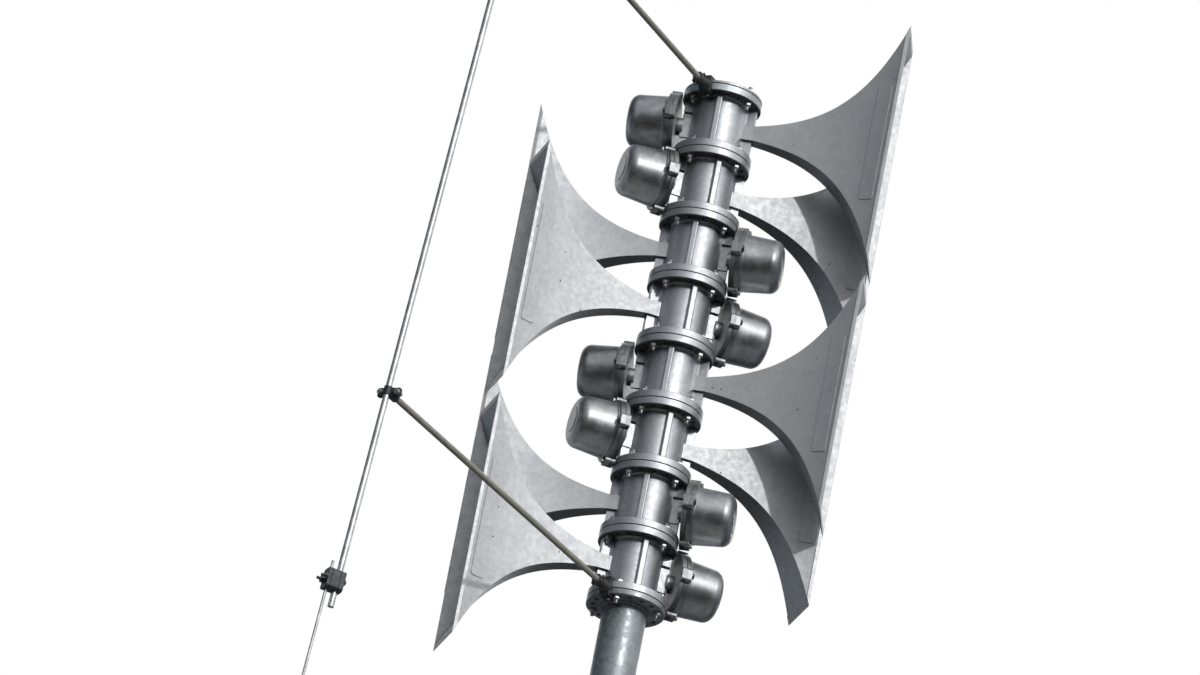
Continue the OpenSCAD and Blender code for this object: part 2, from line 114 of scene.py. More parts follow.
class Graph(Nodes):
    """Builds one procedural material, node by node, on Object coordinates."""

    def __init__(self, name: str) -> None:
        """Starts an empty material.

        Args:
            name: name of the material.
        """
        self.material = bpy.data.materials.new(name)
        self.material.use_nodes = True
        super().__init__(self.material.node_tree)
        self.shader = self.tree.nodes["Principled BSDF"]
        self.place = self.tree.nodes.new("ShaderNodeTexCoord").outputs["Object"]

    def turned(self, degrees: float, stretch: Sequence[float]) -> Socket:
        """Object coordinates turned about Z and stretched, for drawn or brushed marks.

        Args:
            degrees: turn about Z that brings the piece's own axis to X.
            stretch: scale along the turned X, Y and Z.

        Returns:
            The vector output.
        """
        turn = self.node("ShaderNodeVectorRotate", {"Vector": self.place, "Angle": -math.radians(degrees)},
                         rotation_type="Z_AXIS")
        return self.node("ShaderNodeMapping", {"Vector": turn.outputs[0], "Scale": tuple(stretch)}).outputs[0]

    def noise(self, scale: float, detail: float = 3.0, rough: float = 0.5,
              vector: Optional[Socket] = None) -> Socket:
        """Noise from 0 to 1 at a scale in features a metre, on Object coordinates or another vector."""
        return self.node("ShaderNodeTexNoise", {"Vector": vector or self.place, "Scale": scale,
                                                "Detail": detail, "Roughness": rough}).outputs["Fac"]

    def edge(self, radius: float) -> Socket:
        """Mask of the edges of a hard shape: 1 at an edge and 0 on a flat.

        Args:
            radius: width of the mask in metres.

        Returns:
            The mask.
        """
        soft = self.node("ShaderNodeBevel", {"Radius": radius}, samples=4).outputs[0]
        sharp = self.node("ShaderNodeNewGeometry").outputs["Normal"]
        dot = self.node("ShaderNodeVectorMath", {0: soft, 1: sharp}, operation="DOT_PRODUCT").outputs["Value"]
        return self.ramp(dot, 0.999, 0.90)

    def hollow(self, reach: float) -> Socket:
        """Mask of inner corners and gaps within a reach: 1 in a hollow and 0 in the open."""
        open_air = self.node("ShaderNodeAmbientOcclusion", {"Distance": reach}, samples=6).outputs["AO"]
        return self.ramp(open_air, 0.85, 0.25)

    def wear_and_highlight(self, skin: Socket, width: float, share: float, light: tuple) -> Socket:
        """Lightens the edges of a skin: partly wear where weather polishes them, partly a painted highlight.
        """
        return self.blend(self.maths("MULTIPLY", self.edge(width), share), skin, light)

    def paint_corner_shade(self, skin: Socket, reach: float, share: float, painted_shade_tint: tuple) -> Socket:
        """Darkens the inner corners of a skin with painted shade."""
        return self.blend(self.maths("MULTIPLY", self.hollow(reach), share), skin, painted_shade_tint)

    def under(self) -> Socket:
        """Mask of faces that point down, for painted shade on undersides.

        Returns:
            The mask: 1 on an underside and 0 on a wall.
        """
        normal = self.node("ShaderNodeNewGeometry").outputs["Normal"]
        down = self.node("ShaderNodeVectorMath", {0: normal, 1: (0.0, 0.0, -1.0)}, operation="DOT_PRODUCT")
        return self.ramp(down.outputs["Value"], 0.45, 0.95)

    def finish(self, colour: object, rough: object, metallic: float, height: Optional[Socket] = None,
               depth: float = 0.0, radius: float = 0.0) -> bpy.types.Material:
        """Connects the shader's main sockets.

        Args:
            colour: colour or its node output.
            rough: roughness or its node output.
            metallic: share of metal.
            height: output that raises the surface.
            depth: height in metres of the raised parts.
            radius: rounding of hard edges in the shading.

        Returns:
            The finished material.
        """
        for key, value in (("Base Color", colour), ("Roughness", rough), ("Metallic", metallic)):
            if isinstance(value, Socket):
                self.tree.links.new(value, self.shader.inputs[key])
            else:
                self.shader.inputs[key].default_value = (*value, 1.0) if isinstance(value, tuple) else value
        bump_in = {}
        if radius:
            bump_in["Normal"] = self.node("ShaderNodeBevel", {"Radius": radius}, samples=4).outputs[0]
        if height is not None:
            bump = self.node("ShaderNodeBump", {"Height": height, "Distance": depth, "Strength": 1.0,
                                                **bump_in})
            self.tree.links.new(bump.outputs[0], self.shader.inputs["Normal"])
        elif radius:
            self.tree.links.new(bump_in["Normal"], self.shader.inputs["Normal"])
        return self.material


@dataclass(frozen=True)
class CastFinish:
    """Sand or die cast aluminium: mottled skin, fine grain, pits, edges lightened by wear and a painted
    highlight, and painted shade on undersides and in inner corners.
    """

    name: str
    light: tuple
    dark: tuple
    metallic: float
    rough: float
    grain_depth: float
    pits: float
    # Share of painted shade on undersides.
    underside_shade: float
    edge_wear_highlight: float = 0.5
    edge_w: float = 1.6 * MM
    edge_round: float = 1.2 * MM
    corner: float = 22 * MM
    corner_shade_share: float = 0.55
    rim_from: float = 0.0
    patch_scale: float = 14.0
    mottle_scale: float = 75.0
    grain_scale: float = 900.0
    stain_scale: float = 32.0
    pit_scale: float = 46.0
    # Edge colour: wear and a painted highlight.
    worn_and_highlight: tuple = (0.86, 0.87, 0.88)
    rim: tuple = (0.19, 0.195, 0.20)
    # Colour of painted shade on undersides.
    painted_shade_tint: tuple = (0.07, 0.073, 0.078)
    # Colour of painted shade in inner corners.
    corner_shade: tuple = (0.055, 0.057, 0.06)
    pit_dark: tuple = (0.05, 0.052, 0.055)

    def build(self) -> bpy.types.Material:
        """Makes the material.

        Returns:
            The material.
        """
        g = Graph(self.name)
        patches = g.noise(self.patch_scale, 4.0, 0.6)
        mottle = g.noise(self.mottle_scale, 5.0, 0.65)
        grain = g.noise(self.grain_scale, 3.0, 0.6)
        share = g.maths("ADD", g.ramp(patches, 0.38, 0.66, 0.0, 0.45), g.ramp(mottle, 0.36, 0.68, 0.0, 0.55))
        skin = g.blend(share, self.dark, self.light)
        stain = g.ramp(g.noise(self.stain_scale, 6.0, 0.72), 0.60, 0.72, 0.0, 0.35)
        skin = g.blend(stain, skin, shade(self.dark, 0.72))
        spots = g.node("ShaderNodeTexVoronoi", {"Vector": g.place, "Scale": self.pit_scale})
        chosen = g.ramp(g.node("ShaderNodeSeparateColor", {0: spots.outputs["Color"]}).outputs[0],
                        1.0 - self.pits, 1.0 - self.pits + 0.02)
        pit = g.maths("MULTIPLY", g.ramp(spots.outputs["Distance"], 0.16, 0.08), chosen)
        skin = g.blend(g.maths("MULTIPLY", pit, 0.75), skin, self.pit_dark)
        if self.rim_from:
            level = g.node("ShaderNodeVectorMath", {0: g.place, 1: (1.0, 1.0, 0.0)}, operation="MULTIPLY")
            far = g.node("ShaderNodeVectorMath", {0: level.outputs[0]}, operation="LENGTH").outputs["Value"]
            skin = g.blend(g.ramp(far, self.rim_from, self.rim_from + 1 * MM, 0.0, 0.55), skin, self.rim)
        # Edges lightened: partly wear, partly a painted highlight.
        skin = g.wear_and_highlight(skin, self.edge_w, self.edge_wear_highlight, self.worn_and_highlight)
        # Undersides darkened: painted shade.
        skin = g.blend(g.maths("MULTIPLY", g.under(), self.underside_shade), skin, self.painted_shade_tint)
        # Inner corners darkened: painted shade.
        skin = g.paint_corner_shade(skin, self.corner, self.corner_shade_share, self.corner_shade)
        rough = g.ramp(mottle, 0.3, 0.7, self.rough + 0.04, self.rough - 0.04)
        height = g.maths("SUBTRACT", g.maths("ADD", grain, g.maths("MULTIPLY", mottle, 0.6)),
                         g.maths("MULTIPLY", pit, 1.6))
        return g.finish(skin, rough, self.metallic, height, self.grain_depth, self.edge_round)


@dataclass(frozen=True)
class DrawnFinish:
    """Deep drawn metal shell: rings and scuffs round its own axis, over smooth darker metal."""

    name: str
    axis_turn: float
    tint: tuple = (0.53, 0.54, 0.555)
    rim_end: float = 130.5 * MM
    rim_dark: float = 0.55
    ring_stretch: tuple = (420.0, 9.0, 9.0)
    scuff_stretch: tuple = (60.0, 520.0, 90.0)
    cloud_scale: float = 22.0
    grain_depth: float = 0.04 * MM
    edge_wear_highlight: float = 0.45
    edge_w: float = 1.4 * MM
    edge_round: float = 1.0 * MM
    corner: float = 16 * MM
    corner_shade_share: float = 0.6
    ring_light: tuple = (0.62, 0.63, 0.64)
    scuff_light: tuple = (0.84, 0.85, 0.86)
    # Edge colour: wear and a painted highlight.
    worn_and_highlight: tuple = (0.75, 0.76, 0.78)
    # Colour of painted shade in inner corners.
    corner_shade: tuple = (0.03, 0.03, 0.032)

    def build(self) -> bpy.types.Material:
        """Makes the material for drivers whose axis points along one direction.

        Returns:
            The material.
        """
        g = Graph(self.name)
        rings = g.noise(1.0, 3.0, 0.6, g.turned(self.axis_turn, self.ring_stretch))
        scuffs = g.noise(1.0, 4.0, 0.7, g.turned(self.axis_turn, self.scuff_stretch))
        cloud = g.noise(self.cloud_scale, 4.0, 0.6)
        skin = g.blend(g.ramp(cloud, 0.35, 0.68), shade(self.tint, 0.80), shade(self.tint, 1.20))
        skin = g.blend(g.ramp(rings, 0.50, 0.75, 0.0, 0.10), skin, self.ring_light)
        mark = g.maths("MULTIPLY", g.ramp(scuffs, 0.58, 0.68), g.ramp(cloud, 0.46, 0.60))
        skin = g.blend(g.maths("MULTIPLY", mark, 0.85), skin, self.scuff_light)
        out = g.node("ShaderNodeSeparateXYZ", {0: g.turned(self.axis_turn, (1.0, 1.0, 1.0))}).outputs[0]
        skin = g.blend(g.ramp(out, self.rim_end, self.rim_end - 1 * MM, 0.0, self.rim_dark), skin,
                       shade(self.tint, 0.36))
        # Edges lightened: partly wear, partly a painted highlight.
        skin = g.wear_and_highlight(skin, self.edge_w, self.edge_wear_highlight, self.worn_and_highlight)
        # Inner corners darkened: painted shade.
        skin = g.paint_corner_shade(skin, self.corner, self.corner_shade_share, self.corner_shade)
        rough = g.maths("ADD", g.ramp(cloud, 0.3, 0.7, 0.38, 0.48), g.maths("MULTIPLY", mark, 0.15))
        height = g.maths("ADD", g.maths("MULTIPLY", rings, 0.4), g.maths("MULTIPLY", scuffs, 0.6))
        return g.finish(skin, rough, 1.0, height, self.grain_depth, self.edge_round)


@dataclass(frozen=True)
class GalvanisedFinish:
    """Hot dip galvanised steel: crystal patches in cool greys, streaks down the pipe, dull bloom."""

    name: str = "hot_dip_zinc"
    metallic: float = 0.72
    crystal_scale: float = 78.0
    fine_scale: float = 240.0
    bloom_scale: float = 9.0
    grain_scale: float = 500.0
    streak_stretch: tuple = (55.0, 55.0, 5.0)
    grain_depth: float = 0.08 * MM
    edge_round: float = 1.0 * MM
    corner: float = 18 * MM
    corner_shade_share: float = 0.55
    dark: tuple = (0.27, 0.31, 0.33)
    light: tuple = (0.52, 0.56, 0.58)
    dull: tuple = (0.57, 0.60, 0.61)
    streaked: tuple = (0.22, 0.25, 0.26)
    # Colour of painted shade in inner corners.
    corner_shade: tuple = (0.05, 0.055, 0.06)

    def build(self) -> bpy.types.Material:
        """Makes the material.

        Returns:
            The material.
        """
        g = Graph(self.name)
        crystal = g.node("ShaderNodeTexVoronoi", {"Vector": g.place, "Scale": self.crystal_scale})
        facet = g.node("ShaderNodeSeparateColor", {0: crystal.outputs["Color"]}).outputs[0]
        small = g.node("ShaderNodeTexVoronoi", {"Vector": g.place, "Scale": self.fine_scale})
        fine = g.node("ShaderNodeSeparateColor", {0: small.outputs["Color"]}).outputs[1]
        bloom = g.noise(self.bloom_scale, 5.0, 0.6)
        streak = g.noise(1.0, 4.0, 0.6, g.turned(0.0, self.streak_stretch))
        share = g.maths("ADD", g.maths("MULTIPLY", facet, 0.62), g.maths("MULTIPLY", fine, 0.38))
        skin = g.blend(share, self.dark, self.light)
        skin = g.blend(g.ramp(bloom, 0.45, 0.70, 0.0, 0.5), skin, self.dull)
        skin = g.blend(g.ramp(streak, 0.55, 0.78, 0.0, 0.35), skin, self.streaked)
        # Inner corners darkened: painted shade.
        skin = g.paint_corner_shade(skin, self.corner, self.corner_shade_share, self.corner_shade)
        rough = g.ramp(facet, 0.0, 1.0, 0.36, 0.56)
        height = g.maths("ADD", g.maths("MULTIPLY", facet, 0.4), g.noise(self.grain_scale, 3.0, 0.6))
        return g.finish(skin, rough, self.metallic, height, self.grain_depth, self.edge_round)


@dataclass(frozen=True)
class PlainMetalFinish:
    """Small hardware: one tint with fine grain, edges lightened by wear and a painted highlight, and painted
    shade in the corners.
    """

    name: str
    tint: tuple
    rough: float
    metallic: float
    edge_wear_highlight: float = 0.4
    along: tuple = (1.0, 1.0, 1.0)
    grain_scale: float = 220.0
    cloud_scale: float = 35.0
    grain_depth: float = 0.06 * MM
    edge_w: float = 0.7 * MM
    edge_round: float = 0.5 * MM
    corner: float = 7 * MM
    corner_shade_share: float = 0.5
    # Edge colour: wear and a painted highlight.
    worn_and_highlight: tuple = (0.78, 0.78, 0.78)
    # Colour of painted shade in inner corners.
    corner_shade: tuple = (0.03, 0.03, 0.03)

    def build(self) -> bpy.types.Material:
        """Makes the material.

        Returns:
            The material.
        """
        g = Graph(self.name)
        grain = g.noise(1.0, 3.0, 0.6, g.turned(0.0, [self.grain_scale * a for a in self.along]))
        cloud = g.noise(self.cloud_scale, 4.0, 0.6)
        skin = g.blend(g.ramp(cloud, 0.35, 0.7), shade(self.tint, 0.72), shade(self.tint, 1.18))
        skin = g.blend(g.ramp(grain, 0.5, 0.8, 0.0, 0.3), skin, shade(self.tint, 0.6))
        # Edges lightened: partly wear, partly a painted highlight.
        skin = g.wear_and_highlight(skin, self.edge_w, self.edge_wear_highlight, self.worn_and_highlight)
        # Inner corners darkened: painted shade.
        skin = g.paint_corner_shade(skin, self.corner, self.corner_shade_share, self.corner_shade)
        rough = g.ramp(grain, 0.3, 0.7, max(0.05, self.rough - 0.06), self.rough + 0.08)
        return g.finish(skin, rough, self.metallic, grain, self.grain_depth, self.edge_round)


@dataclass(frozen=True)
class FibreFinish:
    """Glass fibre rod: grey olive resin with long fibres and weathered bloom."""

    name: str = "glass_fibre_rod"
    axis_turn: float = -126.0
    fibre_stretch: tuple = (12.0, 900.0, 900.0)
    fibre_depth: float = 0.12 * MM
    cloud_scale: float = 18.0
    coat: float = 0.15
    dark: tuple = (0.32, 0.305, 0.25)
    light: tuple = (0.58, 0.555, 0.48)
    bloom: tuple = (0.66, 0.64, 0.57)

    def build(self) -> bpy.types.Material:
        """Makes the material; the fibres follow the mean direction of the two bars.

        Returns:
            The material.
        """
        g = Graph(self.name)
        fibres = g.noise(1.0, 4.0, 0.65, g.turned(self.axis_turn, self.fibre_stretch))
        cloud = g.noise(self.cloud_scale, 4.0, 0.6)
        skin = g.blend(g.ramp(fibres, 0.3, 0.7), self.dark, self.light)
        skin = g.blend(g.ramp(cloud, 0.5, 0.75, 0.0, 0.5), skin, self.bloom)
        rough = g.ramp(cloud, 0.3, 0.7, 0.42, 0.62)
        g.shader.inputs["Coat Weight"].default_value = self.coat
        return g.finish(skin, rough, 0.0, fibres, self.fibre_depth)


class Bench:
    """Modelling by hand: primitives shaped in edit mode, joined and copied."""

    @staticmethod
    def clear() -> None:
        """Deselects everything, in object mode."""
        if bpy.context.object and bpy.context.object.mode != "OBJECT":
            bpy.ops.object.mode_set(mode="OBJECT")
        bpy.ops.object.select_all(action="DESELECT")

    @staticmethod
    def settle(name: str) -> bpy.types.Object:
        """Leaves edit mode, names the active piece and puts its place into its mesh.

        Args:
            name: name of the piece.

        Returns:
            The piece.
        """
        bpy.ops.object.mode_set(mode="OBJECT")
        piece = bpy.context.object
        piece.name = piece.data.name = name
        bpy.ops.object.transform_apply(location=True, rotation=True, scale=True)
        return piece

    @classmethod
    def lathe(cls, name: str, rings: Sequence[tuple], sides: int = 24, turn: float = 0.0) -> bpy.types.Object:
        """Raises a solid from a disc: each ring is an extrusion, scaled to its radius.

        Args:
            name: name of the piece.
            rings: radius and height of each ring, from one end to the other, in metres.
            sides: number of sides; six for a nut or a hex head.
            turn: turn of the first corner in degrees.

        Returns:
            A closed solid along Z.
        """
        cls.clear()
        radius, height = rings[0]
        bpy.ops.mesh.primitive_circle_add(vertices=sides, radius=radius, fill_type="NGON",
                                          location=(0.0, 0.0, height),
                                          rotation=(0.0, 0.0, math.radians(turn)))
        bpy.ops.object.transform_apply(location=True, rotation=True, scale=True)
        bpy.ops.object.mode_set(mode="EDIT")
        bpy.ops.mesh.select_all(action="SELECT")
        for r, z in rings[1:]:
            bpy.ops.mesh.extrude_region_move(TRANSFORM_OT_translate={"value": (0.0, 0.0, z - height)})
            ratio = r / radius
            bpy.ops.transform.resize(value=(ratio, ratio, 1.0), center_override=(0.0, 0.0, z))
            radius, height = r, z
        bpy.ops.mesh.select_all(action="SELECT")
        bpy.ops.mesh.normals_make_consistent(inside=False)
        return cls.settle(name)

    @classmethod
    def join(cls, pieces: Sequence[bpy.types.Object], name: str, smooth: float = 35.0) -> bpy.types.Object:
        """Joins pieces into one and smooths its shading below an angle.

        Args:
            pieces: pieces to join.
            name: name of the result.
            smooth: angle in degrees up to which an edge is shaded smooth.

        Returns:
            The joined piece.
        """
        cls.clear()
        for piece in pieces:
            piece.select_set(True)
        bpy.context.view_layer.objects.active = pieces[0]
        if len(pieces) > 1:
            bpy.ops.object.join()
        piece = bpy.context.object
        piece.name = piece.data.name = name
        bpy.ops.object.shade_smooth_by_angle(angle=math.radians(smooth))
        return piece

    @staticmethod
    def copy(model: bpy.types.Object, place: Matrix, name: str) -> bpy.types.Object:
        """Copies a model with its own mesh.

        Args:
            model: model to copy.
            place: where the copy goes.
            name: name of the copy.

        Returns:
            The copy, at the origin with its place in its mesh.
        """
        data = model.data.copy()
        data.transform(place)
        piece = bpy.data.objects.new(name, data)
        bpy.context.scene.collection.objects.link(piece)
        return piece

    @staticmethod
    def discard(model: bpy.types.Object) -> None:
        """Removes a model once its copies are made."""
        bpy.data.objects.remove(model, do_unlink=True)


def axes(x: Vector, z: Vector, at: Vector) -> Matrix:
    """Place whose Z axis points along z and whose X axis lies nearest to x.

    Args:
        x: wished direction of X.
        z: direction of Z.
        at: origin of the place.

    Returns:
        A rigid placement.
    """
    z = z.normalized()
    y = z.cross(x).normalized()
    m = Matrix((y.cross(z), y, z)).transposed().to_4x4()
    m.translation = at
    return m


def heading(degrees: float) -> Vector:
    """Level unit vector in a direction seen from above."""
    return Vector((math.cos(math.radians(degrees)), math.sin(math.radians(degrees)), 0.0))


def across(out: Vector) -> Vector:
    """Level vector a quarter turn to the left of another."""
    return Vector((-out.y, out.x, 0.0))


def place_piece(piece: bpy.types.Object, material: bpy.types.Material) -> None:
    """Gives a finished piece its material, and lets it ride with the body.

    Args:
        piece: the piece, with its place in its mesh.
        material: its finish.
    """
    piece.data.materials.clear()
    piece.data.materials.append(material)
    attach(piece, "root")
    log.info("piece %s: %d faces", piece.name, len(piece.data.polygons))


@dataclass
class Bolt:
    """Hex bolt along Z: its head stands above z = 0 and its nut hangs below z = -grip.

    With top_tail it is a stud, which has a nut and a thread end above too.
    """

    thread_d: float = 10 * MM
    flats: float = 16 * MM
    head_h: float = 6.4 * MM
    washer_d: float = 20 * MM
    washer_t: float = 1.8 * MM
    nut_h: float = 8 * MM
    tail: float = 5 * MM
    grip: float = 40 * MM
    nut: bool = True
    dome: bool = False
    threads: int = 4
    top_tail: float = 0.0
    shank_sides: int = 14
    dome_turns: tuple = (0.0, 0.35, 0.7, 1.0, 1.25)
    corner_form: tuple = ((1.0, 0.0), (1.0, 0.72), (0.955, 0.9), (0.84, 1.0))
    thread_form: tuple = ((1.0, 0.7), (0.86, 1.3), (0.86, 1.7), (1.0, 2.3))

    def washer(self) -> bpy.types.Object:
        """Round washer with broken edges, standing on z = 0."""
        r, t, edge = self.washer_d / 2, self.washer_t, 0.3 * MM
        return Bench.lathe("washer", [(r - edge, 0.0), (r, edge), (r, t - edge), (r - edge, t)], sides=28)

    def hexagon(self, h: float) -> bpy.types.Object:
        """Nut or head on its washer, with its upper corners turned off.

        Args:
            h: height of the hexagon.

        Returns:
            The hexagon.
        """
        r, z = self.flats / math.sqrt(3.0), self.washer_t
        rings = [(share * r, z + up * h) for share, up in self.corner_form]
        return Bench.lathe("hexagon", rings, sides=6, turn=30.0)

    def head(self) -> list:
        """Head and its washer, or the upper nut and thread end of a stud.

        Returns:
            The pieces.
        """
        if self.top_tail:
            return self.fixings(Matrix.Identity(4), self.top_tail)
        if not self.dome:
            return [self.washer(), self.hexagon(self.head_h)]
        r, t = self.flats / 2, self.washer_t
        rings = [(r * math.cos(a), t + self.head_h * math.sin(a)) for a in self.dome_turns]
        return [self.washer(), Bench.lathe("dome", rings, sides=20)]

    def end(self) -> list:
        """Washer, nut and threaded end, pointing down from the bottom of the grip."""
        below = Matrix.Translation((0, 0, -self.grip)) @ Matrix.Rotation(math.pi, 4, "X")
        return self.fixings(below, self.tail)

    def fixings(self, place: Matrix, tail: float) -> list:
        """Washer, nut and threaded end, made upright and then moved.

        Args:
            place: where they go.
            tail: length of thread beyond the nut.

        Returns:
            The pieces.
        """
        t, r = self.washer_t, self.thread_d / 2
        start = t + self.nut_h if self.nut else 0.0
        step = tail / (2 * self.threads + 1)
        rings = [(r, start - 0.2 * MM)]
        for i in range(self.threads):
            for share, turns in self.thread_form:
                rings.append((share * r, start + (2 * i + turns) * step))
        rings += [(0.9 * r, start + tail), (0.6 * r, start + tail + 0.5 * MM)]
        made = [Bench.lathe("thread", rings, self.shank_sides)]
        if self.nut:
            made += [self.washer(), self.hexagon(self.nut_h)]
        for piece in made:
            piece.data.transform(place)
        return made

    def build(self) -> bpy.types.Object:
        """Models the whole bolt.

        Returns:
            One piece, to be copied.
        """
        r = self.thread_d / 2
        shank = Bench.lathe("shank", [(r, -self.grip), (r, 0.0)], self.shank_sides)
        return Bench.join([shank] + self.head() + self.end(), "bolt_model")


@dataclass
class Column:
    """The stack of modules, with the bolts of its flange joints and a thin dark ring of painted shade in each
    joint's groove.
    """

    foot: float = 2800 * MM
    pitch: float = 180 * MM
    modules: int = 8
    flange_r: float = 101 * MM
    flange_t: float = 20 * MM
    cap_t: float = 8 * MM
    head_t: float = 16 * MM
    bolt_r: float = 84 * MM
    foot_turns: tuple = (-22.5, 67.5, 157.5, 247.5)
    free_turns: tuple = (-45.0, 45.0, 135.0)
    back_turn: float = -135.0
    moved_turn: float = -157.5
    # Size and depth of the dark ring in each joint's groove, which is painted shade.
    shade_line_r: float = 0.75 * MM
    shade_line_sunk: float = 0.6 * MM
    finish: Optional[bpy.types.Material] = None
    shade_line_finish: Optional[bpy.types.Material] = None

    def seam(self, j: int) -> float:
        """Height of a flange joint, counted from the lowest."""
        return self.foot + j * self.pitch

    def joint_turns(self, j: int) -> Sequence[float]:
        """Directions of the four studs of a joint; one is moved aside where a bracket grips the flange.

        Args:
            j: number of the joint, from the lowest.

        Returns:
            The directions in degrees.
        """
        if j == 0:
            return self.foot_turns
        return (*self.free_turns, self.moved_turn if j in (1, self.modules) else self.back_turn)

    def bolts(self) -> None:
        """Makes the studs of every joint: a nut and a thread end above and below."""
        for j in range(self.modules + 1):
            above = self.cap_t if j == self.modules else self.flange_t
            below = self.head_t if j == 0 else self.flange_t
            model = Bolt(grip=above + below, washer_d=(17 if j == 0 else 20) * MM, tail=9 * MM,
                         top_tail=7 * MM, threads=5).build()
            pieces = []
            for turn in self.joint_turns(j):
                at = heading(turn) * self.bolt_r + UP * (self.seam(j) + above)
                pieces.append(Bench.copy(model, axes(heading(turn), UP, at), "stud"))
            Bench.discard(model)
            place_piece(Bench.join(pieces, f"joint_bolts_{j}"), self.finish)

    def shade_lines(self) -> None:
        """Makes a thin dark ring in the groove of every joint: painted shade of the groove."""
        model = self.shade_line_ring()
        for j in range(self.modules + 1):
            ring = Bench.copy(model, Matrix.Translation((0, 0, self.seam(j))), f"joint_shade_line_{j}")
            place_piece(ring, self.shade_line_finish)
        Bench.discard(model)

    def shade_line_ring(self) -> bpy.types.Object:
        """Spins a small circle at the flange's edge into a ring that bulges slightly.

        Returns:
            The ring, to be copied.
        """
        Bench.clear()
        bpy.ops.mesh.primitive_circle_add(vertices=8, radius=self.shade_line_r, fill_type="NOTHING",
                                          location=(self.flange_r - self.shade_line_sunk, 0, 0),
                                          rotation=(math.radians(90), 0, 0))
        bpy.ops.object.transform_apply(location=True, rotation=True, scale=True)
        bpy.ops.object.mode_set(mode="EDIT")
        bpy.ops.mesh.select_all(action="SELECT")
        bpy.ops.mesh.spin(steps=96, angle=2 * math.pi, center=(0, 0, 0), axis=(0, 0, 1))
        bpy.ops.mesh.select_all(action="SELECT")
        bpy.ops.mesh.remove_doubles(threshold=0.00002)
        bpy.ops.mesh.normals_make_consistent(inside=False)
        ring = Bench.settle("shade_line_model")
        return Bench.join([ring], "shade_line_model")

    def build(self) -> None:
        """Makes all pieces of the column."""
        self.bolts()
        self.shade_lines()


@dataclass
class Drivers:
    """Bolts of the eight drivers, in the lugs round each mounting flange."""

    column: Column
    seat: float = 104 * MM
    flange_t: float = 13 * MM
    lug_r: float = 85 * MM
    splay: float = 11.25
    tail: float = 2.2 * MM
    finish: Optional[bpy.types.Material] = None

    def turn(self, k: int) -> float:
        """Direction in degrees of driver k, counted from the top; it is opposite its horn."""
        horns = (-self.splay, self.splay, 180 - self.splay, 180 + self.splay)
        return horns[(k - 1) % 4] + 180.0

    def middle(self, k: int) -> float:
        """Height of the axis of driver k, counted from the top."""
        return self.column.foot + (self.column.modules - k + 0.5) * self.column.pitch

    def build(self) -> None:
        """Makes four bolts a driver: heads on the housing side, thread ends behind the two side lugs."""
        sizes = dict(thread_d=8 * MM, flats=13 * MM, head_h=5.3 * MM, washer_d=15.6 * MM, washer_t=1.6 * MM,
                     nut=False)
        grip = 2 * self.flange_t
        through = Bolt(grip=grip, tail=self.tail, threads=2, **sizes).build()
        short = Bolt(grip=grip - 1 * MM, tail=0.6 * MM, threads=1, **sizes).build()
        for k in range(1, self.column.modules + 1):
            out = heading(self.turn(k))
            side = across(out)
            rim = out * (self.seat + grip) + UP * self.middle(k)
            pieces = []
            for model, arm in ((through, side), (through, -side), (short, UP), (short, -UP)):
                pieces.append(Bench.copy(model, axes(arm, out, rim + arm * self.lug_r), "bolt"))
            place_piece(Bench.join(pieces, f"driver_bolts_{k}"), self.finish)
        Bench.discard(through)
        Bench.discard(short)


